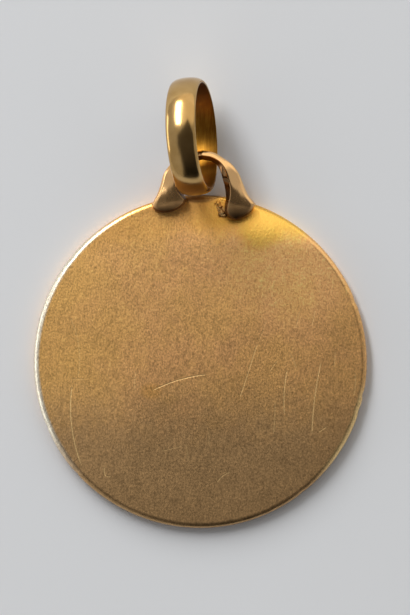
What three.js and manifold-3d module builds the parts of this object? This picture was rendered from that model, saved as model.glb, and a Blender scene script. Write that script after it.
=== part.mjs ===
// A gold medal pendant that lies face down on a table: a round struck disc, a cut strap eye
// soldered over the top of its plain reverse, and a loose half-round ring that passes through
// the eye. Millimetres, +Z up, the reverse of the disc facing up and the eye towards +Y.
// The origin is the centre of the front's sunk field, which faces the table.

import * as THREE from 'three';
import { mergeVertices } from 'three/addons/utils/BufferGeometryUtils.js';
import Module from 'manifold-3d';

const wasm = await Module();
wasm.setup();

// Disc
const discDiameter = 22;
const discThickness = 1.0;
const reverseRounding = 0.33;
const frontRounding = 0.25;
const borderWidth = 1.3;
const borderHeight = 0.12;
const borderSlope = 0.12;
const discSides = 144;
const roundingSteps = 4;

// Bail, a ring of half-round band that leans to the left
const bailRadius = 3.86;
const bailBandWidth = 1.98;
const bailWall = 0.43;
const bailCrown = 0.33;
const bailEdgeBreak = 0.05;
const bailLean = THREE.MathUtils.degToRad(11.5);
const bailTurn = THREE.MathUtils.degToRad(4);
const bailAboveArch = 0.88;
const bailPlay = -0.04;
const bailSides = 96;
const crownSteps = 10;

// Eye, a cut strap whose two feet are soldered to the reverse
const eyeOffCentre = 0.15;
const eyeStandOff = 2.91;
const eyeHeight = 4.53;
const eyeSideClearance = 0.55;
const legReach = 1.86;
const strapThickness = 0.6;
const archThickness = 0.42;
const archClearance = 0.25;
const shoulderDown = 1.13;
const outerBevel = 0.16;
const innerSlope = 0.36;
const underBevel = 0.14;
const innerLand = 0.05;
const solderDepth = 0.05;
const stepsPerLeg = 22;
const tipSteps = 5;

// Solder beads
const beadSides = 10;
const beadRings = 6;

// Sizes that follow. The table touches the border of the front and the lowest point of the bail.
const discRadius = discDiameter / 2;
const tableLevel = -borderHeight;
const archTop = discRadius + eyeStandOff;
const holeHalfWidth = bailBandWidth / 2 + eyeSideClearance;
const eyeHalfSpan = holeHalfWidth + legReach;
const bailY = archTop + bailAboveArch;
const bailLevel = tableLevel + Math.max(...bailProfile().map((point) => (
  point.x * Math.cos(bailLean) - point.y * Math.sin(bailLean)
)));

// The arch is bowed up as far as the bore of the bail needs where it passes under the shoulders
const boreRadius = bailRadius - bailWall;
const boreDrop = Math.sqrt(boreRadius ** 2 - (bailAboveArch + shoulderDown) ** 2) * Math.cos(bailLean);
const boreRise = bailBandWidth / 2 * Math.sin(bailLean);
const footBase = discThickness - solderDepth;
const archBase = bailLevel - boreDrop + boreRise + archClearance;

// The bail crosses the eye in the middle of its hole, whatever its lean and turn
const crossingDrop = bailLevel - archBase;
const crossingBack = Math.sqrt((bailRadius - bailWall / 2) ** 2 - crossingDrop ** 2);
const bailX = eyeOffCentre + bailPlay
  - crossingDrop * Math.tan(bailLean) - crossingBack * Math.tan(bailTurn);

// The edges of the strap from the crown of the arch down to the corners of each foot.
// down is a share of eyeHeight, from the crown of the arch. out is the way from the eye's own
// middle line, as a share of eyeHalfSpan for the outer edge and of holeHalfWidth for the inner
// one. lift is the share of the arch's bow, and bend the share of innerSlope that is cut.
const rightLeg = [
  { outer: { out: 0.000, down: 0.000 }, inner: { out: 0.000, down: 0.136 }, lift: 0.78, bend: 0.75 },
  { outer: { out: 0.202, down: 0.026 }, inner: { out: 0.374, down: 0.162 }, lift: 0.82, bend: 0.75 },
  { outer: { out: 0.388, down: 0.104 }, inner: { out: 0.650, down: 0.226 }, lift: 0.92, bend: 0.80 },
  { outer: { out: 0.565, down: 0.200 }, inner: { out: 0.796, down: 0.334 }, lift: 1.00, bend: 1.00 },
  { outer: { out: 0.705, down: 0.338 }, inner: { out: 0.866, down: 0.422 }, lift: 0.95, bend: 1.00 },
  { outer: { out: 0.796, down: 0.503 }, inner: { out: 0.953, down: 0.531 }, lift: 0.50, bend: 1.00 },
  { outer: { out: 0.888, down: 0.650 }, inner: { out: 0.996, down: 0.662 }, lift: 0.12, bend: 0.75 },
  { outer: { out: 1.030, down: 0.777 }, inner: { out: 0.962, down: 0.804 }, lift: 0.00, bend: 0.45 },
];
const leftLeg = [
  { outer: { out: 0.000, down: 0.000 }, inner: { out: 0.000, down: 0.136 }, lift: 0.78, bend: 0.75 },
  { outer: { out: 0.202, down: 0.026 }, inner: { out: 0.374, down: 0.162 }, lift: 0.82, bend: 0.75 },
  { outer: { out: 0.395, down: 0.095 }, inner: { out: 0.637, down: 0.228 }, lift: 0.92, bend: 0.80 },
  { outer: { out: 0.588, down: 0.177 }, inner: { out: 0.791, down: 0.334 }, lift: 1.00, bend: 1.00 },
  { outer: { out: 0.747, down: 0.337 }, inner: { out: 0.866, down: 0.429 }, lift: 0.95, bend: 1.00 },
  { outer: { out: 0.813, down: 0.501 }, inner: { out: 0.901, down: 0.538 }, lift: 0.50, bend: 1.00 },
  { outer: { out: 0.880, down: 0.640 }, inner: { out: 0.835, down: 0.625 }, lift: 0.12, bend: 0.75 },
  { outer: { out: 0.971, down: 0.765 }, inner: { out: 0.666, down: 0.705 }, lift: 0.00, bend: 0.45 },
];
const rightTip = { out: 0.664, down: 1.000 };
const leftTip = { out: 0.688, down: 0.903 };

// Beads of solder that ran out beside the feet: places as shares of the same two eye sizes,
// side 1 for the right foot and -1 for the left, and half sizes in millimetres.
const solderBeads = [
  { side: 1, out: 0.405, down: 0.905, halfWidth: 0.26, halfLength: 0.40, halfHeight: 0.24 },
  { side: -1, out: 0.960, down: 0.790, halfWidth: 0.17, halfLength: 0.22, halfHeight: 0.20 },
];

// A closed mesh becomes a solid, and a solid becomes a geometry again
function toSolid(geometry) {
  const bare = geometry.clone();
  bare.deleteAttribute('normal');
  bare.deleteAttribute('uv');
  const merged = mergeVertices(bare, 1e-4);
  const mesh = new wasm.Mesh({
    numProp: 3,
    vertProperties: new Float32Array(merged.attributes.position.array),
    triVerts: new Uint32Array(merged.index.array),
  });
  return new wasm.Manifold(mesh);
}

function toGeometry(solid) {
  const mesh = solid.getMesh();
  const geometry = new THREE.BufferGeometry();
  geometry.setAttribute('position', new THREE.BufferAttribute(mesh.vertProperties, 3));
  geometry.setIndex(new THREE.BufferAttribute(mesh.triVerts, 1));
  geometry.computeVertexNormals();
  return geometry;
}

// Points of a quarter round from one angle to another, in degrees
function quarterRound(centreX, centreY, radius, fromAngle, toAngle, steps) {
  return Array.from({ length: steps + 1 }, (_, i) => {
    const angle = THREE.MathUtils.degToRad(fromAngle + (toAngle - fromAngle) * i / steps);
    return new THREE.Vector2(centreX + radius * Math.cos(angle), centreY + radius * Math.sin(angle));
  });
}

// Sections of equal length joined side by side, with both ends closed by fans
function loft(sections) {
  const size = sections[0].length;
  const positions = sections.flat().flatMap((point) => point.toArray());
  const index = [];
  for (let row = 0; row < sections.length - 1; row += 1) {
    for (let k = 0; k < size; k += 1) {
      const a = row * size + k;
      const b = row * size + (k + 1) % size;
      index.push(a, b + size, b, a, a + size, b + size);
    }
  }
  const last = (sections.length - 1) * size;
  for (let k = 1; k < size - 1; k += 1) {
    index.push(0, k, k + 1);
    index.push(last, last + k + 1, last + k);
  }
  const geometry = new THREE.BufferGeometry();
  geometry.setAttribute('position', new THREE.Float32BufferAttribute(positions, 3));
  geometry.setIndex(index);
  return geometry;
}

// The disc is turned: sunk field and raised border below, rolled edges, flat reverse on top
function makeDisc() {
  const fieldRadius = discRadius - borderWidth;
  const profile = [
    new THREE.Vector2(0, 0),
    new THREE.Vector2(fieldRadius, 0),
    new THREE.Vector2(fieldRadius + borderSlope, tableLevel),
    ...quarterRound(discRadius - frontRounding, tableLevel + frontRounding, frontRounding,
      -90, 0, roundingSteps),
    ...quarterRound(discRadius - reverseRounding, discThickness - reverseRounding, reverseRounding,
      0, 90, roundingSteps),
    new THREE.Vector2(0, discThickness),
  ];
  return new THREE.LatheGeometry(profile, discSides).rotateX(Math.PI / 2);
}

// A smooth run of edge points through the rows of one leg, then round the tip of its foot
function legRows(rows, tip) {
  const curveOf = (edge, reach) => new THREE.CatmullRomCurve3(
    rows.map((row) => new THREE.Vector3(row[edge].out * reach, row[edge].down * eyeHeight, 0)),
    false,
    'centripetal',
  );
  const outerCurve = curveOf('outer', eyeHalfSpan);
  const innerCurve = curveOf('inner', holeHalfWidth);
  const result = [];
  for (let i = 0; i <= stepsPerLeg; i += 1) {
    const t = i / stepsPerLeg;
    const place = t * (rows.length - 1);
    const low = Math.min(Math.floor(place), rows.length - 2);
    const blend = place - low;
    result.push({
      outer: outerCurve.getPoint(t),
      inner: innerCurve.getPoint(t),
      lift: THREE.MathUtils.lerp(rows[low].lift, rows[low + 1].lift, blend),
      bend: THREE.MathUtils.lerp(rows[low].bend, rows[low + 1].bend, blend),
    });
  }
  const corner = result[result.length - 1];
  const middle = corner.outer.clone().lerp(corner.inner, 0.5);
  const reach = new THREE.Vector3(tip.out * eyeHalfSpan, tip.down * eyeHeight, 0).sub(middle);
  for (let i = 1; i <= tipSteps; i += 1) {
    const angle = (Math.PI / 2) * i / (tipSteps + 0.5);
    const centre = middle.clone().addScaledVector(reach, Math.sin(angle));
    result.push({
      outer: centre.clone().addScaledVector(corner.outer.clone().sub(middle), Math.cos(angle)),
      inner: centre.clone().addScaledVector(corner.inner.clone().sub(middle), Math.cos(angle)),
      lift: corner.lift,
      bend: corner.bend,
    });
  }
  return result;
}

// A place on the eye in the part's frame, side 1 for the right leg and -1 for the left
function eyePoint(side, out, down, level) {
  return new THREE.Vector3(eyeOffCentre + side * out, archTop - down, level);
}

// One section of the strap: flat underneath with its inner edge broken, an upright outer side
// with a bevel, and a sloped inner side
function strapSection(side, row) {
  const base = THREE.MathUtils.lerp(footBase, archBase, row.lift);
  const thickness = THREE.MathUtils.lerp(strapThickness, archThickness, row.lift);
  const top = base + thickness;
  const width = row.outer.distanceTo(row.inner);
  const bevelShare = Math.min(outerBevel / width, 0.3);
  const slopeShare = Math.min(innerSlope * row.bend / width, 0.45);
  const across = (share, level) => {
    const place = row.outer.clone().lerp(row.inner, share);
    return eyePoint(side, place.x, place.y, level);
  };
  const underShare = Math.min(underBevel / width, 0.3);
  return [
    across(0, base),
    across(1 - underShare, base),
    across(1, base + underBevel),
    across(1, base + underBevel + innerLand),
    across(1 - slopeShare, top),
    across(bevelShare, top),
    across(0, top - outerBevel),
  ];
}

function makeStrap() {
  const left = legRows(leftLeg, leftTip).reverse().map((row) => strapSection(-1, row));
  const right = legRows(rightLeg, rightTip).slice(1).map((row) => strapSection(1, row));
  return loft([...left, ...right]);
}

function makeBead(bead) {
  const out = bead.out * eyeHalfSpan;
  const down = bead.down * eyeHeight;
  const place = eyePoint(bead.side, out, down, discThickness);
  return new THREE.SphereGeometry(1, beadSides, beadRings)
    .scale(bead.halfWidth, bead.halfLength, bead.halfHeight)
    .translate(place.x, place.y, place.z);
}

function makeMedal() {
  let solid = toSolid(makeDisc()).add(toSolid(makeStrap()));
  for (const bead of solderBeads) {
    solid = solid.add(toSolid(makeBead(bead)));
  }
  return toGeometry(solid);
}

// Half-round band: a crowned outside, a straight bore and narrow broken edges.
// x is the radius and y the place across the band.
function bailProfile() {
  const edgeRadius = bailRadius - bailCrown;
  const innerRadius = bailRadius - bailWall;
  const half = bailBandWidth / 2;
  const crown = Array.from({ length: crownSteps + 1 }, (_, i) => {
    const angle = Math.PI * (i / crownSteps - 0.5);
    return new THREE.Vector2(edgeRadius + bailCrown * Math.cos(angle), half * Math.sin(angle));
  });
  return [
    ...crown,
    new THREE.Vector2(innerRadius + bailEdgeBreak, half),
    new THREE.Vector2(innerRadius, half - bailEdgeBreak),
    new THREE.Vector2(innerRadius, -half + bailEdgeBreak),
    new THREE.Vector2(innerRadius + bailEdgeBreak, -half),
    crown[0].clone(),
  ];
}

function makeBail() {
  return new THREE.LatheGeometry(bailProfile(), bailSides).rotateZ(-Math.PI / 2);
}

const medalGold = new THREE.MeshStandardMaterial({ color: 0xb98a4e, roughness: 0.38, metalness: 1 });
const bailGold = new THREE.MeshStandardMaterial({ color: 0xcda05a, roughness: 0.22, metalness: 1 });

const medal = new THREE.Mesh(makeMedal(), medalGold);
medal.name = 'medal';

const bail = new THREE.Mesh(makeBail(), bailGold);
bail.name = 'bail_ring';
bail.rotation.y = -bailLean;
const bailStand = new THREE.Group();
bailStand.position.set(bailX, bailY, bailLevel);
bailStand.rotation.z = bailTurn;
bailStand.add(bail);

const pendant = new THREE.Group();
pendant.add(medal, bailStand);

export default pendant;
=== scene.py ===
# %% [markdown]
# # A gold medal lying face down, with its eye and its loose bail
# The pendant is two pieces of metal: a struck disc with a strap eye soldered over its plain
# reverse, and a loose half-round ring that passes through the eye. The packed model already holds
# both at their real size. Here each one gets its fine surface and a worn gold finish, and then it
# is lit and seen from straight above, as it lies.

import math

import bpy
import numpy as np
from mathutils import Matrix, Vector


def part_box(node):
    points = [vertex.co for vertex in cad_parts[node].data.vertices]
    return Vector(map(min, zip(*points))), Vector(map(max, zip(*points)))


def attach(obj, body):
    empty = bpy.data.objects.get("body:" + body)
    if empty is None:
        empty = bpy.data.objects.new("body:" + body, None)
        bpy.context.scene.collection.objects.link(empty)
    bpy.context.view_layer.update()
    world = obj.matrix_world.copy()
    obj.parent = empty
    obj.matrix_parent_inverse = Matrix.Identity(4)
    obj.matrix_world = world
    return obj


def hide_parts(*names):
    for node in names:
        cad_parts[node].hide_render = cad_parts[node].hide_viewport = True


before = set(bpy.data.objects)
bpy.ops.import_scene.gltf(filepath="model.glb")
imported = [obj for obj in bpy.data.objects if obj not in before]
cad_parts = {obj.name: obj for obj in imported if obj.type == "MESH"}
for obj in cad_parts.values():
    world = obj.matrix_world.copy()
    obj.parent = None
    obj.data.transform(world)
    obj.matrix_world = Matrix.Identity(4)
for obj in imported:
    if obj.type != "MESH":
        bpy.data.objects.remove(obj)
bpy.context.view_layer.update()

# %% [markdown]
# ## Sizes read from the frame
# Everything is worked out in millimetres and turned into metres when a mesh is made. The disc is
# as wide as the medal's box, its sunk front field is the zero level, and the bail's centre is the
# middle of its box, because a leaning ring still fills its box evenly.

# %% Sizes
MM = 0.001
medal_low, medal_high = (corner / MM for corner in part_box("medal"))
bail_low, bail_high = (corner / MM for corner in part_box("bail_ring"))
DISC_RADIUS = (medal_high.x - medal_low.x) / 2
DISC_TOP = 1.0
TABLE = medal_low.z
ARCH_TOP = medal_high.y
BAIL_CENTRE = (bail_low + bail_high) / 2
BAIL_RADIUS = (bail_high.y - bail_low.y) / 2
print("disc radius", round(DISC_RADIUS, 2), "bail radius", round(BAIL_RADIUS, 2))

# %% [markdown]
# ## The camera
# A jeweller's photograph of a flat piece is taken from straight above with a long lens, so that
# the disc stays round and the standing ring hardly grows. The lens is worked out from the size
# of the picture at the level of the disc: 15.18 pixels of the picture are one millimetre.

# %% Camera
PICTURE = (410, 615)
PIXELS_PER_MM = 15.18
CAMERA_DISTANCE = 400
VIEW_CENTRE = (0.316, 3.57)
SENSOR_WIDTH = 36
NEAREST = 0.01

camera_data = bpy.data.cameras.new("camera")
camera_data.sensor_width = SENSOR_WIDTH
camera_data.lens = SENSOR_WIDTH * PIXELS_PER_MM * CAMERA_DISTANCE / max(PICTURE)
camera_data.clip_start = NEAREST
camera = bpy.data.objects.new("camera", camera_data)
camera.location = Vector((*VIEW_CENTRE, DISC_TOP + CAMERA_DISTANCE)) * MM
bpy.context.scene.collection.objects.link(camera)
bpy.context.scene.camera = camera
print("lens", round(camera_data.lens, 1), "mm")

# %% [markdown]
# ## Meshes from rows of points
# Both pieces are skins over rows of points: rings of the disc, sections of the strap, slices of
# the band. One function joins such rows into quads. Each row closes on itself, the two ends can
# be capped, and a stack of rows can close on itself too, which is what a ring does.

# %% Skin over rows
SHARP_ANGLE = 35


def skin(rows, closed_rows=False, caps=False):
    count = len(rows[0])
    points = [tuple(point) for row in rows for point in row]
    faces = []
    pairs = len(rows) if closed_rows else len(rows) - 1
    for i in range(pairs):
        here = i * count
        there = (i + 1) % len(rows) * count
        for k in range(count):
            after = (k + 1) % count
            faces.append((here + k, here + after, there + after, there + k))
    if caps:
        faces.append(tuple(reversed(range(count))))
        faces.append(tuple(range((len(rows) - 1) * count, len(rows) * count)))
    return points, faces


def show(name, mesh, sharp):
    """A mesh becomes a smooth shaded piece with sharp creases."""
    mesh.polygons.foreach_set("use_smooth", [True] * len(mesh.polygons))
    mesh.set_sharp_from_angle(angle=math.radians(sharp))
    piece = bpy.data.objects.new(name, mesh)
    bpy.context.scene.collection.objects.link(piece)
    print(name, len(mesh.vertices), "points", len(mesh.polygons), "faces")
    return piece


def make_piece(name, points, faces, sharp=SHARP_ANGLE):
    mesh = bpy.data.meshes.new(name)
    mesh.from_pydata((np.array(points) * MM).tolist(), [], faces)
    mesh.validate()
    return show(name, mesh, sharp)


# %% [markdown]
# ## The disc's height
# A struck disc isn't quite flat. Its edge is rolled by the collar of the press, it is a touch
# domed, and the heat and pressure of soldering the eye have bent the metal down a little at the
# top. It could be a turned shape from one profile, but a turned shape can't bend, so it is a
# polar grid whose points are moved by a height function.

# %% Disc relief
# Small waves in the sheet: height in mm, wave length in mm, direction in degrees, phase
WAVES = [
    (0.010, 13.0, 35, 0.4),
    (0.006, 7.5, 110, 2.1),
    (0.004, 4.6, 160, 4.0),
    (0.003, 3.1, 70, 1.2),
]
DOME = 0.30
DOME_RISE = 0.10
LOWEST_RELIEF = -0.46

# The bend starts at BEND_LINE in the middle and lower at the sides, along a slightly wavy line
BEND_LINE = 8.3
BEND_BOW = 0.012
BEND_MIDDLE = 2.0
BEND_SLOPE = 0.11
BEND_SOFTNESS = 0.5
BEND_FADE = (-6, 2)
RIPPLE = 0.25
RIPPLE_RATE = 1.1
RIPPLE_PHASE = 0.5


def smooth_step(low, high, value):
    t = np.clip((value - low) / (high - low), 0, 1)
    return t * t * (3 - 2 * t)


def reverse_relief(x, y):
    """How far the plain reverse stands above its flat level, in mm."""
    relief = DOME_RISE - DOME * (x * x + y * y) / DISC_RADIUS ** 2
    for height, length, direction, phase in WAVES:
        angle = math.radians(direction)
        along = x * math.cos(angle) + y * math.sin(angle)
        relief += height * np.sin(2 * math.pi * along / length + phase)
    ripple = RIPPLE * np.sin(RIPPLE_RATE * x + RIPPLE_PHASE)
    past = y - BEND_LINE + BEND_BOW * (x - BEND_MIDDLE) ** 2 + ripple
    eased = 0.5 * (past + np.sqrt(past * past + BEND_SOFTNESS))
    relief -= BEND_SLOPE * eased * smooth_step(*BEND_FADE, x)
    return np.maximum(relief, LOWEST_RELIEF)


print("relief in the middle", round(float(reverse_relief(0.0, 0.0)), 3))
print("relief at the top", round(float(reverse_relief(0.0, DISC_RADIUS)), 3))

# %% [markdown]
# ## The disc's rim
# Years of wear have made the rim wander, and knocks have left nicks. Each nick is a narrow bell
# curve taken off the radius, which is easier to steer than cutting with a second shape.

# %% Rim
DISC_STEPS = 360
RIM_PLAY = 0.02
# Wander of the rim: height in mm, waves all round, phase
RIM_WANDER = [(0.012, 2, 0.7), (0.006, 5, 2.0)]
# Swelling beside the eye: height in mm, direction and width in degrees
RIM_SWELL = (0.03, 93, 15)
# Nicks: direction from the centre in degrees, width in degrees, depth in mm
NICKS = [(-11.5, 1.2, 0.07), (21.2, 0.9, 0.06), (-17.0, 1.6, 0.05), (203.0, 1.4, 0.04),
         (222.0, 1.0, 0.05), (-52.0, 1.5, 0.04), (141.0, 1.1, 0.03)]
turn = np.linspace(0, 2 * math.pi, DISC_STEPS, endpoint=False)


def rim_reach(angles):
    """The rim's radius all round: a slow wander, a swelling and a few nicks."""
    reach = np.full_like(angles, DISC_RADIUS - RIM_PLAY)
    reach += sum(height * np.sin(waves * angles + phase) for height, waves, phase in RIM_WANDER)
    height, direction, width = RIM_SWELL
    reach += height * np.exp(-((np.degrees(angles) - direction) / width) ** 2)
    for direction, width, depth in NICKS:
        off = np.degrees(np.angle(np.exp(1j * (angles - math.radians(direction)))))
        reach -= depth * np.exp(-(off / width) ** 2)
    return np.minimum(reach, DISC_RADIUS)


print("rim from", round(rim_reach(turn).min(), 3), "to", round(rim_reach(turn).max(), 3), "mm")

# %% [markdown]
# ## The disc's rings
# The skin runs from the middle of the hidden front, out over its low border, round the edge and
# back to the middle of the reverse. The front is plain: a sunk field inside a turned border.

# %% Disc rings
MIDDLE_RADIUS = 0.05
FIELD_RADII = (MIDDLE_RADIUS, 3.0, 6.0, 9.0)
BORDER_WIDTH = 1.3
BORDER_SLOPE = 0.12
BORDER_ROUND = 0.05
BORDER_FLAT = 0.6
FIELD_GAP = 0.04
EASE = 0.01
FRONT_EDGE = 0.25
FRONT_STEPS = 6
ROLLED_EDGE = 0.33
ROLLED_STEPS = 12
EDGE_INSETS = (0.42, 0.55, 0.72)
GRID_FROM = 0.25
GRID_INSET = 0.9
GRID_STEPS = 54


def disc_ring(inset, level, relief_share=0.0, radius=None):
    """One ring of points: inset from the rim, or a plain radius, at a level."""
    reach = rim_reach(turn) - inset if radius is None else np.full_like(turn, radius)
    x, y = reach * np.cos(turn), reach * np.sin(turn)
    z = level + relief_share * reverse_relief(x, y)
    return np.stack([x, y, z], axis=1)


def quarter_turn(steps):
    return [math.pi / 2 * i / steps for i in range(steps + 1)]


border_foot = BORDER_WIDTH - BORDER_SLOPE
border = [
    (BORDER_WIDTH + EASE, -EASE),
    (border_foot, TABLE + EASE),
    (border_foot - BORDER_ROUND, TABLE),
    (BORDER_FLAT, TABLE),
]
grid_radii = [MIDDLE_RADIUS, *np.linspace(GRID_FROM, DISC_RADIUS - GRID_INSET, GRID_STEPS)]

rings = [disc_ring(0, 0, radius=r) for r in (*FIELD_RADII, DISC_RADIUS - BORDER_WIDTH - FIELD_GAP)]
rings += [disc_ring(inset, level) for inset, level in border]
for a in quarter_turn(FRONT_STEPS):
    rings.append(disc_ring(FRONT_EDGE * (1 - math.sin(a)), TABLE + FRONT_EDGE * (1 - math.cos(a))))
for a in quarter_turn(ROLLED_STEPS):
    level = DISC_TOP - ROLLED_EDGE * (1 - math.sin(a))
    rings.append(disc_ring(ROLLED_EDGE * (1 - math.cos(a)), level, 1.0))
rings += [disc_ring(inset, DISC_TOP, 1.0) for inset in EDGE_INSETS]
rings += [disc_ring(0, DISC_TOP, 1.0, radius=r) for r in reversed(grid_radii)]
disc = make_piece("disc", *skin(rings, caps=True))

# %% [markdown]
# ## The eye's outline
# The eye is cut from thick strip and bent over the top of the disc: a narrow arch, two legs that
# widen, and two feet cut like a fish's tail. The outer edge has a narrow filed bevel and the
# inner edge a wide steep one. It could be an extruded outline, but then both bevels would be
# alike, so a section is carried along the strap between an outer and an inner edge.

# %% Edges of the strap
EYE_MIDDLE = 0.15
EYE_HEIGHT = 4.53
EYE_HALF = 3.40
HOLE_HALF = 1.54

# A row for each place along a leg, from the crown down. Columns: outer out and outer down, inner
# out and inner down, lift, rise, bend, tilt. Out is a share of EYE_HALF on the outer edge and of
# HOLE_HALF on the inner one, down a share of EYE_HEIGHT, lift the share of the arch's bow under
# the strap and rise the share on its face, bend that of the inner slope, and tilt how far in mm
# the face falls outwards
RIGHT_LEG = [
    (0.000, 0.000, 0.000, 0.136, 0.78, 0.80, 0.75, 0.12),
    (0.202, 0.026, 0.374, 0.162, 0.82, 0.84, 0.75, 0.15),
    (0.388, 0.104, 0.650, 0.226, 0.92, 0.92, 0.80, 0.20),
    (0.565, 0.200, 0.796, 0.334, 1.00, 0.99, 1.00, 0.22),
    (0.705, 0.338, 0.866, 0.422, 0.95, 0.96, 1.00, 0.28),
    (0.796, 0.503, 0.953, 0.531, 0.50, 0.90, 1.00, 0.24),
    (0.888, 0.650, 0.996, 0.662, 0.12, 0.70, 0.75, 0.12),
    (1.030, 0.777, 0.962, 0.804, 0.00, 0.36, 0.45, 0.04),
]
LEFT_LEG = [
    (0.000, 0.000, 0.000, 0.136, 0.78, 0.80, 0.75, 0.12),
    (0.202, 0.026, 0.374, 0.162, 0.82, 0.84, 0.75, 0.15),
    (0.395, 0.095, 0.637, 0.228, 0.92, 0.92, 0.80, 0.20),
    (0.588, 0.177, 0.791, 0.334, 1.00, 0.99, 1.00, 0.20),
    (0.747, 0.337, 0.866, 0.429, 0.95, 0.96, 1.00, 0.24),
    (0.813, 0.501, 0.901, 0.538, 0.50, 0.90, 1.00, 0.20),
    (0.880, 0.640, 0.835, 0.625, 0.12, 0.70, 0.75, 0.08),
    (0.971, 0.765, 0.666, 0.705, 0.00, 0.36, 0.45, 0.00),
]
COLUMN_SIZES = (EYE_HALF, EYE_HEIGHT, HOLE_HALF, EYE_HEIGHT, 1, 1, 1, 1)
RIGHT_TIP = (0.664 * EYE_HALF, 1.000 * EYE_HEIGHT)
LEFT_TIP = (0.688 * EYE_HALF, 0.903 * EYE_HEIGHT)
TIP_DROP = 0.34
LEG_STEPS = 64
TIP_STEPS = 14
TIP_BLUNT = 0.3


def along_rows(rows, steps):
    """A smooth run through the rows, as a Catmull-Rom curve in every column."""
    table = np.array(rows) * COLUMN_SIZES
    padded = np.vstack([2 * table[0] - table[1], table, 2 * table[-1] - table[-2]])
    result = []
    for place in np.linspace(0, len(table) - 1, steps):
        i = min(int(place), len(table) - 2)
        t = place - i
        a, b, c, d = padded[i:i + 4]
        result.append(0.5 * (2 * b + (c - a) * t + (2 * a - 5 * b + 4 * c - d) * t ** 2
                             + (3 * b - a - 3 * c + d) * t ** 3))
    return result


def leg_stations(rows, tip):
    """Outer and inner point and the shape there, from the crown down and round the tip."""
    stations = [(row[0:2], row[2:4], (*row[4:8], 0)) for row in along_rows(rows, LEG_STEPS)]
    outer, inner, shape = stations[-1]
    middle = (outer + inner) / 2
    reach = np.array(tip) - middle
    for i in range(1, TIP_STEPS + 1):
        angle = math.pi / 2 * i / (TIP_STEPS + TIP_BLUNT)
        centre = middle + reach * math.sin(angle)
        stations.append((centre + (outer - middle) * math.cos(angle),
                         centre + (inner - middle) * math.cos(angle),
                         (*shape[:4], TIP_DROP * (1 - math.cos(angle)))))
    return stations


print("stations on a leg", len(leg_stations(RIGHT_LEG, RIGHT_TIP)))

# %% [markdown]
# ## The eye's section
# At each place the section is a flat bottom, a narrow bevel outside, a domed face that falls
# outwards and a wide slope inside. Towards the feet the outer bevel grows and rounds, because
# the toes were filed after soldering. The foot follows the relief of the disc that it sits on.

# %% Section of the strap
FOOT_LEVEL = DISC_TOP - 0.05
FOOT_THICKNESS = 0.6
ARCH_LEVEL = 1.44
ARCH_THICKNESS = 0.42
OUTER_BEVEL = 0.16
INNER_SLOPE = 0.36
UNDER_BEVEL = 0.14
UNDER_STEP = 0.05
BEVEL_SHARE = 0.3
SLOPE_SHARE = 0.45
TILT_SHARE = 0.40
BULGE = 0.5
TOE_LIFT = 0.5
TOE_BEVEL = 0.12
TOE_EDGE = 0.14
TOE_BULGE = 0.22
FACE_DOME = 0.07
FULL_FACE = 0.8
DOME_FADE = 1.1
TOP_FOLLOW = 0.4
# Points on the face: share of its width, of its dome and of its tilt
FACE_POINTS = ((0.65, 0.1, 0.35), (0.35, 0.0, 0.65))
CORNER_RADIUS = 0.07
CORNER_REACH = 0.42
CORNER_STEPS = 4


def rounded(corners, radius):
    """Each corner of a closed outline becomes a short curve."""
    result = []
    count = len(corners)
    for i, corner in enumerate(corners):
        before, after = corners[i - 1] - corner, corners[(i + 1) % count] - corner
        reach_before = min(radius, CORNER_REACH * np.linalg.norm(before))
        reach_after = min(radius, CORNER_REACH * np.linalg.norm(after))
        start = corner + before / max(np.linalg.norm(before), 1e-6) * reach_before
        end = corner + after / max(np.linalg.norm(after), 1e-6) * reach_after
        for t in np.linspace(0, 1, CORNER_STEPS):
            result.append(start * (1 - t) ** 2 + corner * 2 * t * (1 - t) + end * t * t)
    return result


def strap_corners(width, base, top, toe, bend, tilt, rise):
    """Corners of one section, as distance from the outer edge and level."""
    bevel = min(OUTER_BEVEL + TOE_BEVEL * toe, BEVEL_SHARE * width)
    edge = OUTER_BEVEL + TOE_EDGE * toe
    bulge = BULGE - TOE_BULGE * toe
    slope = min(INNER_SLOPE * bend, SLOPE_SHARE * width)
    under = min(UNDER_BEVEL, BEVEL_SHARE * width)
    face = width - slope - bevel
    dome = FACE_DOME * min(1, face / FULL_FACE) * (DOME_FADE - rise)
    tilt = min(tilt, TILT_SHARE * face)
    on_face = [(bevel + face * wide, top - dome * sunk - tilt * fallen)
               for wide, sunk, fallen in FACE_POINTS]
    return [np.array(corner) for corner in (
        (0, base),
        (width * 0.5, base),
        (width - under, base),
        (width, base + UNDER_BEVEL),
        (width, base + UNDER_BEVEL + UNDER_STEP),
        (width - slope, top - dome),
        *on_face,
        (bevel, top - dome - tilt),
        (bevel * bulge, top - dome - tilt - (edge - dome) * bulge),
        (0, top - tilt - edge),
    )]


def strap_section(side, station):
    outer, inner, (lift, rise, bend, tilt, drop) = station
    lift = np.clip(lift, 0, 1)
    base = FOOT_LEVEL + (ARCH_LEVEL - FOOT_LEVEL) * lift
    foot_top, arch_top = FOOT_LEVEL + FOOT_THICKNESS, ARCH_LEVEL + ARCH_THICKNESS
    top = foot_top + (arch_top - foot_top) * rise - drop
    width = np.linalg.norm(inner - outer)
    toe = (1 - np.clip(lift / TOE_LIFT, 0, 1)) ** 2
    corners = strap_corners(width, base, top, toe, bend, tilt, rise)
    section = []
    for across, level in rounded(corners, CORNER_RADIUS):
        place = outer + (inner - outer) * across / width
        x, y = EYE_MIDDLE + side * place[0], ARCH_TOP - place[1]
        up = np.clip((level - base) / (top - base), 0, 1)
        follow = (1 - lift) * (1 - up) + TOP_FOLLOW * (1 - rise) * up
        section.append((x, y, level + follow * float(reverse_relief(x, y))))
    return section


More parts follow.
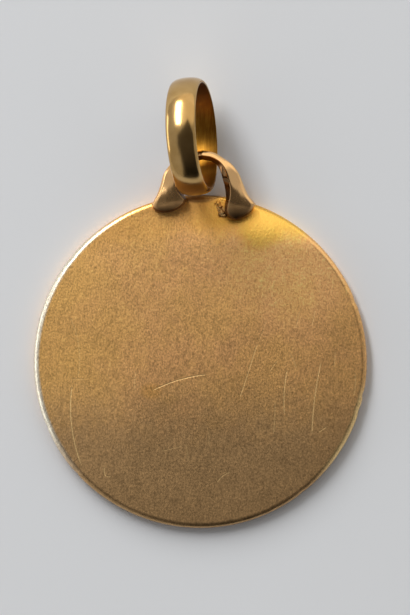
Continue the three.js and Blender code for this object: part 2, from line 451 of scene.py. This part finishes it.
# %% Eye
left_leg = [strap_section(-1, s) for s in reversed(leg_stations(LEFT_LEG, LEFT_TIP))]
right_leg = [strap_section(1, s) for s in leg_stations(RIGHT_LEG, RIGHT_TIP)[1:]]
eye_points, eye_faces = skin(left_leg + right_leg, caps=True)
eye = make_piece("eye", eye_points, [tuple(reversed(face)) for face in eye_faces])

# %% [markdown]
# ## The solder
# Where the eye was soldered on, a little solder ran out and froze as lumps with a rough skin:
# a cluster beside the right foot and one small bead outside the left. Lumps like these are
# simplest as small spheres with a seeded unevenness, sunk halfway into the metal.

# %% Solder lumps
# A ridge of lumps from one place to another: start, end, count, half size, height in mm
RIDGES = [
    ((1.17, 10.50), (1.47, 9.72), 11, 0.14, 0.11),
    ((1.34, 9.86), (1.60, 9.56), 5, 0.17, 0.22),
    ((-3.06, 10.24), (-2.94, 10.04), 3, 0.09, 0.12),
]
LUMP_SCATTER = 0.05
LUMP_SIZES = (0.6, 1.3)
LUMP_UNEVEN = 0.12
LUMP_STEPS = 10
rng = np.random.default_rng(7)


def ridge(start, end, count, half, height):
    """Centre and half sizes of each lump on the way from start to end."""
    start, end = np.array(start), np.array(end)
    shapes = []
    for t in np.linspace(0, 1, count):
        x, y = start + (end - start) * t + rng.normal(0, LUMP_SCATTER, 2)
        size = half * rng.uniform(*LUMP_SIZES, 3)
        centre = (x, y, DISC_TOP + float(reverse_relief(x, y)))
        shapes.append((centre, (size[0], size[1], size[2] * height / half)))
    return shapes


def lump(centre, half):
    rows = []
    for i in range(1, LUMP_STEPS):
        tilt = math.pi * i / LUMP_STEPS
        around = np.linspace(0, 2 * math.pi, 2 * LUMP_STEPS, endpoint=False)
        uneven = 1 + LUMP_UNEVEN * rng.standard_normal(len(around)) * math.sin(tilt)
        uneven = (uneven + np.roll(uneven, 1)) / 2
        rows.append(np.stack([
            centre[0] + half[0] * uneven * math.sin(tilt) * np.cos(around),
            centre[1] + half[1] * uneven * math.sin(tilt) * np.sin(around),
            centre[2] - half[2] * math.cos(tilt) + 0 * around], axis=1))
    return skin(rows, caps=True)


lumps = [make_piece("lump", *lump(*shape)) for row in RIDGES for shape in ridge(*row)]

# %% [markdown]
# ## Soldered metal is one body
# Disc, eye and solder are one piece of metal once the solder has run, so they are joined with
# boolean unions. The exact solver is slower than the fast one but keeps the surface closed.

# %% Join the medal
MEDAL_SHARP_ANGLE = 62


def fuse(base, others, name):
    for other in others:
        join = base.modifiers.new("join", "BOOLEAN")
        join.operation = "UNION"
        join.solver = "EXACT"
        join.object = other
    depsgraph = bpy.context.evaluated_depsgraph_get()
    mesh = bpy.data.meshes.new_from_object(base.evaluated_get(depsgraph))
    mesh.name = name
    for gone in (base, *others):
        bpy.data.objects.remove(gone)
    return show(name, mesh, MEDAL_SHARP_ANGLE)


medal = fuse(disc, [eye, *lumps], "medal_gold_body")

# %% [markdown]
# ## The bail
# The bail is bent from half-round wire: crowned outside, flat inside, with the two edges just
# broken. A ring like this is a section carried round a circle. It leans to the left where it
# stands in the eye, and it is turned a little. A hand-made one is never quite even, so its width
# and its crown wander, and it is a little fuller at the front.

# %% Bail section
BAND_WIDTH = 1.98
BAND_PLAY = 0.012
BAIL_WALL = 0.43
BAIL_CROWN = 0.33
CROWN_PLAY = 0.006
# Wander of the width and of the crown: size in mm, waves all round, phase
WIDTH_WANDER = (0.010, 3, 0.6)
CROWN_WANDER = (0.005, 2, 0)
FRONT_FULLNESS = 0.06
BAIL_STEPS = 240
CROWN_STEPS = 26


def wander(angle, size, waves, phase):
    return size * math.sin(waves * angle + phase)


def band_section(angle):
    """Radius and place across the band, all round one slice."""
    half = BAND_WIDTH / 2 - BAND_PLAY + wander(angle, *WIDTH_WANDER)
    crown_radius = BAIL_RADIUS - BAIL_CROWN - CROWN_PLAY + wander(angle, *CROWN_WANDER)
    crown_radius += FRONT_FULLNESS * max(0, -math.sin(angle)) ** 4
    bore = BAIL_RADIUS - BAIL_WALL
    outline = []
    for i in range(CROWN_STEPS + 1):
        t = math.pi * (i / CROWN_STEPS - 0.5)
        outline.append(np.array((crown_radius + BAIL_CROWN * math.cos(t), half * math.sin(t))))
    edges = [outline[-1], np.array((bore, half)), np.array((bore, -half)), outline[0]]
    return outline[1:-1] + rounded(edges, CORNER_RADIUS)


print("points in a slice of the band", len(band_section(0)))

# %% Bail ring
BAIL_LEAN = math.radians(11.5)
BAIL_TURN = math.radians(4)
BAIL_SHARP_ANGLE = 50
lean = Matrix.Rotation(BAIL_TURN, 3, "Z") @ Matrix.Rotation(-BAIL_LEAN, 3, "Y")
bail_rows = []
for k in range(BAIL_STEPS):
    angle = 2 * math.pi * k / BAIL_STEPS
    slice_points = [Vector((across, radius * math.sin(angle), radius * math.cos(angle)))
                    for radius, across in band_section(angle)]
    bail_rows.append([BAIL_CENTRE + lean @ point for point in slice_points])
bail = make_piece("bail_gold_ring", *skin(bail_rows, closed_rows=True), sharp=BAIL_SHARP_ANGLE)

# %% [markdown]
# ## Shader sums that read like sums
# A finish is mostly arithmetic on patterns: noise times a mask plus a colour. In the node editor
# that is a wire jungle. A small class wraps one output socket, so that plus, minus and times in
# Python add the Math nodes.

# %% Wires
class Wire:
    def __init__(self, finish, socket):
        self.finish = finish
        self.socket = socket

    def maths(self, operation, *values):
        return self.finish.add("ShaderNodeMath", {"operation": operation}, dict(enumerate(values)))

    def __add__(self, other):
        return self.maths("ADD", self, other)

    def __radd__(self, other):
        return self.maths("ADD", other, self)

    def __sub__(self, other):
        return self.maths("SUBTRACT", self, other)

    def __rsub__(self, other):
        return self.maths("SUBTRACT", other, self)

    def __mul__(self, other):
        return self.maths("MULTIPLY", self, other)

    def __rmul__(self, other):
        return self.maths("MULTIPLY", other, self)

    def __pow__(self, other):
        return self.maths("POWER", self, other)

    def __rpow__(self, other):
        return self.maths("POWER", other, self)

    def __abs__(self):
        return self.maths("ABSOLUTE", self)

    def least(self, other):
        return self.maths("MINIMUM", self, other)

    def most(self, other):
        return self.maths("MAXIMUM", self, other)

    def ramp(self, low, high):
        """0 below low and 1 above high, with soft ends."""
        return self.finish.add("ShaderNodeMapRange", {"interpolation_type": "SMOOTHSTEP"},
                               {"Value": self, "From Min": low, "From Max": high})


print("operators", [name for name in vars(Wire) if name.startswith("__r")])

# %% [markdown]
# ## One method for every other node
# A finish holds a node tree. Its method add takes a node's type, its settings and what goes into
# its sockets, and hands back the wire that comes out. The rest are short names for the nodes
# that both golds use: a place on the piece, a stretched pattern, an oval spot, a noise, a mix of
# two colours and a list of colours that lie over each other as tarnish and dirt do.

# %% Finishes
class Finish:
    def __init__(self, tree):
        self.nodes = tree.nodes
        self.links = tree.links

    def add(self, kind, settings=None, inputs=None, out=0):
        node = self.nodes.new(kind)
        for key, value in (settings or {}).items():
            setattr(node, key, value)
        self.fill(node, inputs or {})
        return Wire(self, node.outputs[out])

    def fill(self, node, inputs):
        for key, value in inputs.items():
            if isinstance(value, Wire):
                self.links.new(value.socket, node.inputs[key])
            else:
                node.inputs[key].default_value = value

    def into(self, name, inputs):
        """Links or sets the inputs of a node that the tree already has."""
        self.fill(self.nodes[name], inputs)

    def place(self):
        """Where a point is on the piece, in millimetres."""
        metres = self.add("ShaderNodeTexCoord", out="Object")
        return self.scaled(metres, 1 / MM)

    def scaled(self, vector, scale):
        return self.add("ShaderNodeVectorMath", {"operation": "SCALE"}, {0: vector, "Scale": scale})

    def split(self, vector):
        node = self.add("ShaderNodeSeparateXYZ", None, {0: vector}).socket.node
        return [Wire(self, node.outputs[axis]) for axis in "XYZ"]

    def stretched(self, vector, scale, turn=0.0, middle=(0, 0, 0)):
        """Coordinates of a pattern that is moved, turned and stretched."""
        inputs = {"Vector": vector, "Location": middle, "Rotation": (0, 0, turn), "Scale": scale}
        return self.add("ShaderNodeMapping", {"vector_type": "TEXTURE"}, inputs)

    def spot(self, place, centre, half, turn=0.0):
        """1 in the middle of an oval on the disc, falling to 0 at its edge."""
        x, y, _ = self.split(self.stretched(place, (*half, 1), turn, (*centre, 0)))
        return 1 - (x * x + y * y).ramp(0.0, 1.0)

    def noise(self, vector, scale, detail=2.0, rough=0.5):
        return self.add("ShaderNodeTexNoise", None,
                        {"Vector": vector, "Scale": scale, "Detail": detail, "Roughness": rough})

    def mix(self, share, first, second):
        node = self.add("ShaderNodeMix", {"data_type": "RGBA"}).socket.node
        self.fill(node, {"Factor": share, 6: first, 7: second})
        return Wire(self, node.outputs[2])

    def layered(self, colour, layers):
        """Colours over each other: where each one lies, its share there, and the colour."""
        for where, share, over in layers:
            colour = self.mix(where * share, colour, over)
        return colour


def new_material(name):
    material = bpy.data.materials.new(name)
    material.use_nodes = True
    return material, Finish(material.node_tree)


medal_material, gold = new_material("worn_medal_gold")
bail_material, polish = new_material("polished_bail_gold")
board_material, board = new_material("pale_board")
print("materials", medal_material.name, bail_material.name, board_material.name)

# %% [markdown]
# ## Colours of old gold
# Fresh gold of this carat is a warm yellow. Where it has been handled for a century it is
# browner and pinker, and where dirt and old solder flux sit it is nearly brown. Some of the darker
# browns and the palest golds also paint shade and highlights. The colours are what the bare metal
# reflects, so they are linear values between 0 and 1.

# %% Gold colours
EYE_GOLD = (1.00, 0.605, 0.265, 1)
PINK_GOLD = (0.96, 0.535, 0.220, 1)
WARM_GOLD = (0.98, 0.565, 0.205, 1)
YELLOW_GOLD = (1.00, 0.520, 0.105, 1)
YELLOWED_GOLD = (0.92, 0.550, 0.165, 1)
OLIVE_GOLD = (0.58, 0.360, 0.165, 1)
BROWN_GOLD = (0.46, 0.255, 0.105, 1)
# Dark browns: painted shade round the eye, and dirt with painted shade in the bail's bore
SHADE_AND_DIRT_GOLD = (0.20, 0.105, 0.045, 1)
SHADE_DARK_GOLD = (0.09, 0.045, 0.020, 1)
# Near white and pale gold also paint the rim's highlights; pale gold colours scratches and solder too
RIM_HIGHLIGHT_GOLD = (1.00, 0.900, 0.720, 1)
PALE_GOLD = (1.00, 0.720, 0.330, 1)
BAIL_GOLD = (0.65, 0.415, 0.165, 1)
BAIL_DULL = (0.55, 0.335, 0.118, 1)
# Bore colours: dirt and painted shade inside the ring
BORE_GOLD = (0.44, 0.225, 0.030, 1)
BORE_DIRT_AND_SHADE = (0.24, 0.105, 0.012, 1)
print("warm gold reflects", WARM_GOLD[:3])

# %% [markdown]
# ## Scratches
# A scratch is a fine bright line with a little bow. Long ones could be thin strips of mesh, but
# a shader line is finer and shows in reflections as well. For each, the pattern's coordinates
# are moved and turned so that the scratch runs from -1 to 1 along X, and the line is then the
# places that lie close to a shallow arc.

# %% Scratches of the reverse
# Start, middle and end in mm on the disc, then strength
SCRATCHES = [
    ((-8.44, -1.46), (-8.58, -3.40), (-7.80, -6.90), 1.00),
    ((-8.55, 2.88), (-7.97, 0.73), (-8.07, -1.00), 0.35),
    ((-8.38, -1.15), (-8.00, -1.14), (-7.64, -1.18), 0.35),
    ((-3.17, -1.91), (-1.03, -1.09), (0.45, -0.84), 0.80),
    ((-4.25, -0.67), (-4.32, -1.20), (-4.33, -1.83), 0.45),
    ((3.76, 1.23), (3.35, -0.10), (2.60, -2.39), 0.60),
    ((4.34, 2.71), (4.10, 2.00), (3.85, 1.30), 0.25),
    ((5.92, 0.57), (6.15, 0.10), (6.32, -0.42), 0.45),
    ((5.74, -0.51), (5.53, -1.95), (5.55, -3.48), 0.75),
    ((4.92, -2.57), (4.90, -3.60), (4.83, -4.72), 0.40),
    ((7.98, 0.07), (7.62, -1.75), (7.35, -4.80), 0.80),
    ((7.81, -4.64), (8.10, -4.45), (8.31, -4.30), 0.55),
    ((8.89, 0.65), (8.86, 0.10), (8.80, -0.42), 0.35),
    ((10.20, -0.76), (10.22, -1.50), (10.12, -2.24), 0.45),
    ((6.57, 3.38), (6.42, 2.80), (6.32, 2.22), 0.35),
    ((7.56, 3.38), (7.48, 2.90), (7.36, 2.38), 0.45),
    ((4.59, -0.67), (4.80, -0.30), (5.09, 0.07), 0.40),
    ((-6.32, -6.95), (-6.33, -7.30), (-6.24, -7.53), 0.75),
    ((-6.24, -7.53), (-6.10, -7.57), (-5.90, -7.56), 0.50),
    ((1.12, -7.94), (1.45, -7.55), (1.94, -7.28), 0.45),
    ((-0.95, -5.38), (-0.86, -5.95), (-0.78, -6.54), 0.30),
    ((0.54, -4.56), (0.57, -5.05), (0.59, -5.55), 0.30),
    ((-2.52, -5.88), (-1.85, -5.72), (-1.20, -5.55), 0.30),
]
SCRATCH_WIDTH = 0.05
SCRATCH_TAPER = 3


def scratch(finish, place, start, middle, end, strength):
    start, middle, end = (np.array(p) for p in (start, middle, end))
    chord = end - start
    half = np.linalg.norm(chord) / 2
    centre = (start + end) / 2
    normal = np.array((-chord[1], chord[0])) / (2 * half)
    bow = float((middle - centre) @ normal)
    direction = math.atan2(chord[1], chord[0])
    local = finish.stretched(place, (half, SCRATCH_WIDTH, 1), direction, (*centre, 0))
    along, across, _ = finish.split(local)
    inside = (1 - along * along).most(0.0)
    away = abs(across - inside * (bow / SCRATCH_WIDTH))
    return (1 - away).most(0.0) * (inside * SCRATCH_TAPER).least(strength)


place = gold.place()
x, y, z = gold.split(place)
REVERSE_LEVELS = (0.40, 0.50)
lines = scratch(gold, place, *SCRATCHES[0])
for row in SCRATCHES[1:]:
    lines = lines + scratch(gold, place, *row)
lines = (lines * z.ramp(*REVERSE_LEVELS)).least(1.0)
print(len(SCRATCHES), "scratches take", len(gold.nodes), "nodes")

# %% [markdown]
# ## Grain and clouds of the medal
# The reverse was never polished bright: it is satin, with a fine grain from wear. Three noises
# of different sizes, a little stretched along the way it was rubbed, make the grain, and two
# large ones make the clouds and blotches of the tarnish.

# %% Medal patterns
# Grains: stretch along Y, turn, then the noise's scale, detail and roughness
SPECKLE = (1.5, 0.12, 9.5, 2.0, 0.6)
GRAIN = (1.8, -0.25, 3.4, 3.0, 0.6)
BRUSHED = (6, -0.12, 6.0, 2.0, 0.6)
# Clouds: the noise's scale, detail and roughness
CLOUD = (0.33, 4.0, 0.62)
PATCH = (1.1, 4.0, 0.65)
BLOTCH = 1.6


def rubbed(stretch, turn, scale, detail, rough):
    return gold.noise(gold.stretched(place, (1, stretch, 1), turn), scale, detail, rough)


speckle = rubbed(*SPECKLE)
grain = rubbed(*GRAIN)
brushed = rubbed(*BRUSHED)
cloud = gold.noise(place, *CLOUD)
patch = gold.noise(place, *PATCH)
blotch = (patch - 0.5) * BLOTCH
print("medal gold now has", len(gold.nodes), "nodes")

# %% [markdown]
# ## Bloom, painted shade and a painted sheen
# A brown bloom is thickest low down, and there and at the lower right it carries painted shade
# too. A yellow painted reflection lies near the eye, over the bend of the disc. Each mask is a soft
# step along X or Y that the clouds make uneven, so no edge is ruled. The painted sheen ends along
# the same bowed line as the bend of the disc.

# %% Bloom, painted shade and painted sheen of the medal
LOW_BLOOM = (-4.0, 9.0)
LEFT_YELLOWING = (2.0, 10.0)
RIGHT_BROWN_X = (5.5, 9.5)
RIGHT_BROWN_Y = (-7.0, 0.0)
SHEEN_LINE = 8.2
SHEEN_EDGE = (-0.5, 1.2)
SHEEN_FROM_LEFT = (-3.5, 2.0)
SHEEN_LEAST = 0.35
# Ovals on the disc: centre and half size
DIP_SPOT = ((3.9, 8.1), (1.9, 1.4))
WORN_SPOT = ((-3.24, -1.93), (0.9, 0.7))

# Painted shade with the bloom: the olive darkens towards the bottom and the brown at the lower right
low = (0 - y).ramp(*LOW_BLOOM)
left = (0 - x).ramp(*LEFT_YELLOWING)
right = x.ramp(*RIGHT_BROWN_X) * (0 - y).ramp(*RIGHT_BROWN_Y)
bow = (x - BEND_MIDDLE) * (x - BEND_MIDDLE) * BEND_BOW
dip = gold.spot(place, *DIP_SPOT) * 0.9
# Painted reflection: a yellow, lighter zone under the eye, where the bent disc catches the light
sheen_line = y - SHEEN_LINE + bow + dip + blotch * 0.5 + (cloud - 0.5) * 1.5
painted_sheen = sheen_line.ramp(*SHEEN_EDGE) * x.ramp(*SHEEN_FROM_LEFT).most(SHEEN_LEAST)

bare = gold.mix((cloud * 1.3 - 0.15).ramp(0.3, 0.7), PINK_GOLD, WARM_GOLD)
colour = gold.layered(bare, [
    (left, 0.6, YELLOWED_GOLD),
    ((low * 1.1 + blotch * 0.35).ramp(0.2, 1.0), 1.0, OLIVE_GOLD),
    (right, 0.25, BROWN_GOLD),
    (painted_sheen, 1.0, YELLOW_GOLD),
    (gold.spot(place, *WORN_SPOT), 0.35, YELLOW_GOLD),
])
print("medal gold now has", len(gold.nodes), "nodes")

# %% [markdown]
# ## Painted rim highlights and tone
# The rolled edge gets a painted highlight, near white at the left and paler gold at the lower
# right. Then one number, the tone, makes the whole colour lighter or darker: broad ovals of painted
# light and shade first, and the grain on top, which is weaker where the painted sheen lies.

# %% Painted rim highlights and tone of the medal
RIM_BAND = (DISC_RADIUS - 0.45, DISC_RADIUS - 0.25)
RIM_LEVELS = (0.3, 0.5)
LEFT_RIM_X = (4.0, 9.0)
LEFT_RIM_Y = (-8.0, -4.0)
LOW_RIM_X = (6.0, 9.0)
LOW_RIM_BELOW = (1.0, 3.0)
LOW_RIM_ABOVE = (-8.5, -6.0)
from_middle = (x * x + y * y) ** 0.5
rim = from_middle.ramp(*RIM_BAND) * z.ramp(*RIM_LEVELS)
# Painted highlights on the rolled edge: near white at the left, pale gold at the lower right
left_rim_highlight = (0 - x).ramp(*LEFT_RIM_X) * y.ramp(*LEFT_RIM_Y)
low_rim_highlight = x.ramp(*LOW_RIM_X) * (0 - y).ramp(*LOW_RIM_BELOW) * y.ramp(*LOW_RIM_ABOVE)
colour = gold.layered(colour, [
    (rim * left_rim_highlight, 1.0, RIM_HIGHLIGHT_GOLD),
    (rim * low_rim_highlight, 0.8, PALE_GOLD),
])

# Painted light and shade as broad lighter and darker ovals: centre, half size, how much lighter
PAINTED_LIGHT_OVALS = [
    ((6.5, 6.5), (7.0, 5.0), 0.14),
    ((1.0, -1.0), (6.5, 6.5), -0.07),
    ((-7.5, -4.5), (4.5, 4.5), 0.10),
]
MEDAL_TONE = 0.92
# The painted sheen near the eye is also painted lighter
tone = MEDAL_TONE + painted_sheen * 0.13
for centre, half, lighter in PAINTED_LIGHT_OVALS:
    tone = tone + gold.spot(place, centre, half) * lighter
rubbing = (speckle - 0.5) * 1.0 + (grain - 0.5) * 0.4 + (brushed - 0.5) * 0.3
tone = tone + rubbing * (1 - painted_sheen * 0.7)
colour = gold.scaled(colour, tone)
print("medal gold now has", len(gold.nodes), "nodes")

# %% [markdown]
# ## Eye, feet and solder
# The eye is cut from another sheet, a little pinker. Painted shade darkens the ends of the feet
# and the toes, the steep sides of the feet, the slope that faces the hole and the disc under the
# bail. The direction of the surface finds the steep sides, so no line has to be drawn.

# %% Painted shade round the eye
HOLE_Y = 11.9
EYE_LEVELS = (0.84, 0.90)
EYE_FROM_Y = (8.9, 9.3)
STEEP_SIDE = (0.60, 0.85)
STEEP_SLOPE = (0.82, 0.94)
DISC_EDGE = (10.45, 10.60)
FACES_HOLE = (0.05, 0.35)
SOLDER_SPOT = ((1.38, 10.02), (0.28, 0.70), 0.35)
BAIL_SHADE_SPOT = ((-0.2, 11.1), (2.0, 0.75))
FOOT_END_Y = 10.4
TOE_Y = 10.13
TOE_SLANT = 0.076
BRIGHT_SOLDER_Y = 10.1

lean_x, lean_y, up = gold.split(gold.add("ShaderNodeTexCoord", out="Normal"))
beside_eye = y.ramp(*EYE_FROM_Y)
on_eye = z.ramp(*EYE_LEVELS) * beside_eye
faces_hole = (lean_x * (EYE_MIDDLE - x) + lean_y * (HOLE_Y - y)).ramp(*FACES_HOLE)
hole_slope_shade = faces_hole * (1 - up.ramp(*STEEP_SLOPE))
solder = gold.spot(place, *SOLDER_SPOT).ramp(0.1, 0.5)
not_solder = 1 - solder
bright_solder = solder * (BRIGHT_SOLDER_Y - y).ramp(-0.4, 0.4)
brown_solder = solder * (grain + speckle - 0.35).ramp(0.40, 0.80)
# Painted shade on the disc under the bail
shade_under_bail = gold.spot(place, *BAIL_SHADE_SPOT).ramp(0.0, 0.5)
# Painted shade: the ends and toes of the feet, their steep sides and the slope facing the hole
foot_end_shade = (FOOT_END_Y - y).ramp(-0.5, 1.0)
toe_shade = (TOE_Y - x * TOE_SLANT - y).ramp(0.0, 0.5)
foot_side_shade = (1 - up.ramp(*STEEP_SIDE)) * beside_eye * (1 - from_middle.ramp(*DISC_EDGE))

colour = gold.layered(colour, [
    (shade_under_bail, 0.75, SHADE_AND_DIRT_GOLD),
    (on_eye, 1.0, EYE_GOLD),
    (on_eye * foot_end_shade * not_solder, 0.85, SHADE_AND_DIRT_GOLD),
    (on_eye * toe_shade * not_solder, 0.85, SHADE_DARK_GOLD),
    (foot_side_shade * not_solder, 0.9, SHADE_AND_DIRT_GOLD),
    (on_eye * hole_slope_shade, 1.0, SHADE_AND_DIRT_GOLD),
    (bright_solder, 0.9, PALE_GOLD),
    (brown_solder, 0.6, BROWN_GOLD),
    (lines, 1.0, PALE_GOLD),
])
print("medal gold now has", len(gold.nodes), "nodes")

# %% [markdown]
# ## Gloss and grain of the medal
# Tarnish also dulls, so the patterns go into the roughness as well as the colour. The grain goes
# into a bump of a fiftieth of a millimetre, and one smooth extra fall of the height past the
# bend carries its reflection further than the mesh alone.

# %% Medal shader
BUMP_DISTANCE = 0.02 * MM
MEDAL_BUMP = 0.90
MEDAL_ROUGH = 0.50
POLISHED_ARCH = (10.6, 12.0)
FALL_LINE = 7.5
FALL_FROM_LEFT = (-3.0, 4.0)
FALL = 2.4

rough = MEDAL_ROUGH + (speckle - 0.5) * 0.16 + (patch - 0.5) * 0.08 - rim * 0.15 - painted_sheen * 0.08
rough = rough - on_eye * (0.02 + y.ramp(*POLISHED_ARCH) * 0.12)
height = (speckle * 0.7 + grain * 0.35 + brushed * 0.30) * (1 - on_eye * 0.8) - lines * 0.6
past_bend = (y - FALL_LINE + bow * 0.5).most(0.0)
height = height - past_bend * past_bend * x.ramp(*FALL_FROM_LEFT) * (1 - on_eye) * FALL


def finish_metal(finish, piece, material, colour, rough, height, strength):
    """Bare metal all over, with what varies linked to the shader, laid on the piece."""
    bump = finish.add("ShaderNodeBump", None,
                      {"Strength": strength, "Distance": BUMP_DISTANCE, "Height": height})
    finish.into("Principled BSDF",
                {"Base Color": colour, "Metallic": 1.0, "Roughness": rough, "Normal": bump})
    piece.data.materials.clear()
    piece.data.materials.append(material)
    print(material.name, "has", len(finish.nodes), "nodes")


finish_metal(gold, medal, medal_material, colour, rough, height, MEDAL_BUMP)

# %% [markdown]
# ## The finish of the bail
# The bail rubs on a chain, so its outside stays polished, with hairlines round the band, and its
# bore is darker, partly from dirt and partly as painted shade. The distance from the ring's own
# axis tells the bore from the outside. It is darkest at the top and at the bottom, with dirt and
# painted shade.

# %% Where the bore is
BAIL_BUMP = 0.10
BORE_EDGE = (BAIL_RADIUS - BAIL_WALL + 0.02, BAIL_RADIUS - BAIL_WALL + 0.06)
place = polish.place()
x, y, z = polish.split(place)
from_centre = polish.add("ShaderNodeVectorMath", {"operation": "SUBTRACT"}, {0: place, 1: BAIL_CENTRE})
across = polish.add("ShaderNodeVectorMath", {"operation": "DOT_PRODUCT"},
                    {0: from_centre, 1: lean @ Vector((1, 0, 0))}, out="Value")
away = polish.add("ShaderNodeVectorMath", {"operation": "LENGTH"}, {0: from_centre}, out="Value")
radius = (away * away - across * across) ** 0.5
bore = 1 - radius.ramp(*BORE_EDGE)
print("bore up to", round(BORE_EDGE[0], 2), "mm from the axis")

# %% Bail shader
BAIL_ROUGH = 0.17
BORE_ROUGHER = 0.20
HAIR_STRETCH = (0.25, 3.0, 3.0)
STREAKS_FROM_Y = (15.5, 18.5)
LOW_BORE_DARK_Y = 14.8
LOW_BORE_DARK_FADE = (0.0, 1.2)
TOP_BORE_DARK_Y = (15.6, 17.6)

cloud = polish.noise(place, 0.8, 3.0, 0.6)
fine = polish.noise(place, 11.0, 3.0, 0.6)
hair = polish.noise(polish.stretched(place, HAIR_STRETCH), 2.2, 3.0, 0.65)
streaks = (hair * 0.7 + cloud * 0.5 - 0.1 + y.ramp(*STREAKS_FROM_Y) * 0.2).ramp(0.30, 0.62)
# The bore's darker colours are dirt and painted shade, darkest at the bottom and the top
colour = polish.layered(polish.mix(cloud.ramp(0.35, 0.7), BAIL_GOLD, BAIL_DULL), [
    (bore, 1.0, polish.mix(streaks, BORE_GOLD, BORE_DIRT_AND_SHADE)),
    (bore * (LOW_BORE_DARK_Y - y).ramp(*LOW_BORE_DARK_FADE), 0.8, BORE_DIRT_AND_SHADE),
    (bore * y.ramp(*TOP_BORE_DARK_Y), 0.6, SHADE_AND_DIRT_GOLD),
])
rough = BAIL_ROUGH + (cloud - 0.5) * 0.06 + (hair - 0.5) * 0.06 + bore * BORE_ROUGHER
height = fine * 0.3 + hair * 0.7
finish_metal(polish, bail, bail_material, colour, rough, height, BAIL_BUMP)

# %% [markdown]
# ## The table
# A plain pale board, large enough that its edge never shows. It is matt, because a shiny one
# would mirror the lights.

# %% Table
TABLE_HALF = 1500
BOARD_ROUGH = 0.9
BOARD_TONES = ((0.745, 0.765, 0.795, 1), (0.765, 0.785, 0.815, 1))
corners = [(-TABLE_HALF, -TABLE_HALF), (TABLE_HALF, -TABLE_HALF),
           (TABLE_HALF, TABLE_HALF), (-TABLE_HALF, TABLE_HALF)]
table = make_piece("table_board", [(*corner, TABLE) for corner in corners], [(0, 1, 2, 3)])
board_tone = board.mix(board.noise(board.place(), 0.02, 2.0, 0.5), *BOARD_TONES)
board.into("Principled BSDF", {"Base Color": board_tone, "Roughness": BOARD_ROUGH})
table.data.materials.append(board_material)

# %% [markdown]
# ## The lamps
# Polished gold shows what stands around it, so the studio is built as the metal should see it.
# A strong soft box stands behind on the left and a low window at the left. They draw the white
# streak on the bail, and with the painted highlight on the rim, the white line on the rolled edge.

# %% Two lamps
LAMP_DISTANCE = 0.6
SOFTBOX_LONG = Vector((-0.183, -0.603, 0.776))
WINDOW_LONG = Vector((0, 1, 0))
# Name, way to the lamp, way of its long side, length, width, radiance
LAMPS = [
    ("softbox", Vector((-0.41, 0.70, 0.59)), SOFTBOX_LONG, 0.84, 0.20, 13.0),
    ("left_window", Vector((-0.98, 0.06, 0.17)), WINDOW_LONG, 0.96, 0.30, 2.0),
]


def lamp(name, away, long_way, length, width, radiance):
    """A soft box; its length and width are shares of its distance."""
    data = bpy.data.lights.new(name, "AREA")
    data.shape = "RECTANGLE"
    data.size, data.size_y = width * LAMP_DISTANCE, length * LAMP_DISTANCE
    data.energy = radiance * math.pi * data.size * data.size_y
    light = bpy.data.objects.new(name, data)
    z_axis = away.normalized()
    x_axis = long_way.cross(z_axis).normalized()
    y_axis = z_axis.cross(x_axis)
    turned = Matrix((x_axis, y_axis, z_axis)).transposed().to_4x4()
    light.matrix_world = Matrix.Translation(z_axis * LAMP_DISTANCE) @ turned
    bpy.context.scene.collection.objects.link(light)
    print(name, round(data.energy, 2), "watts")


for row in LAMPS:
    lamp(*row)

# %% [markdown]
# ## The room
# Pale walls stand behind and at both sides. The ceiling over the camera and the front of the
# room are dark, and that is what the dark lens on the bail shows, and the dark feet of the eye
# with the shade painted on them.
# The walls could be boards, but a world shader never gets in the way of a lamp or a view.

# %% World
WALL_GREY = (0.43, 0.43, 0.43, 1)
BACK_WHITE = (1.05, 1.00, 0.92, 1)
FRONT_DARK = (0.010, 0.010, 0.010, 1)
CEILING_DARK = (0.065, 0.060, 0.055, 1)
# Edges as parts of a direction of length 1: x to the right, y to the back, z up
FRONT_FROM = 0.3
LEFT_WALL = 0.49
LEFT_SPREAD = 0.39
RIGHT_WALL = 0.60
RIGHT_SPREAD = 0.08
SIDE_SOFTNESS = (-0.04, 0.05)
BACK_EDGE = (0.50, 0.58)
BACK_RIGHT_SLANT = 0.8
BACK_LEFT_SLANT = 1.1
GLOW_FROM = (0.25, 0.50)
GLOW_MIDDLE = 0.30
GLOW_SIDES = (0.45, 0.80)
CEILING_FROM = (0.2, 1.0)

world = bpy.data.worlds.new("room")
world.use_nodes = True
room = Finish(world.node_tree)
x, y, z = room.split(room.add("ShaderNodeTexCoord"))
front = (0 - y - FRONT_FROM).most(0.0)
left_wall = (front * LEFT_SPREAD - x - LEFT_WALL).ramp(*SIDE_SOFTNESS)
right_wall = (x - RIGHT_WALL - front * RIGHT_SPREAD).ramp(*SIDE_SOFTNESS)
back_right = (x * BACK_RIGHT_SLANT + y).ramp(*BACK_EDGE)
back_left = (y - x * BACK_LEFT_SLANT).ramp(*BACK_EDGE)
wall = left_wall.most(right_wall).most(back_right).most(back_left)
glow = y.ramp(*GLOW_FROM) * (1 - abs(x - GLOW_MIDDLE).ramp(*GLOW_SIDES))
bright = room.mix(glow, WALL_GREY, BACK_WHITE)
dark = room.mix(z.ramp(*CEILING_FROM), FRONT_DARK, CEILING_DARK)
room.into("Background", {"Color": room.mix(wall, dark, bright)})
bpy.context.scene.world = world
bpy.context.scene.view_settings.view_transform = "Standard"
print("the room has", len(room.nodes), "nodes")

# %% [markdown]
# ## Tie the pieces to the frame
# Each piece stands for its solid and rides with the part's one body.

# %% Tie and finish
for piece, node, slot_name in ((medal, "medal", "medal_gold"), (bail, "bail_ring", "bail_gold")):
    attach(piece, "root")
    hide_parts(node)
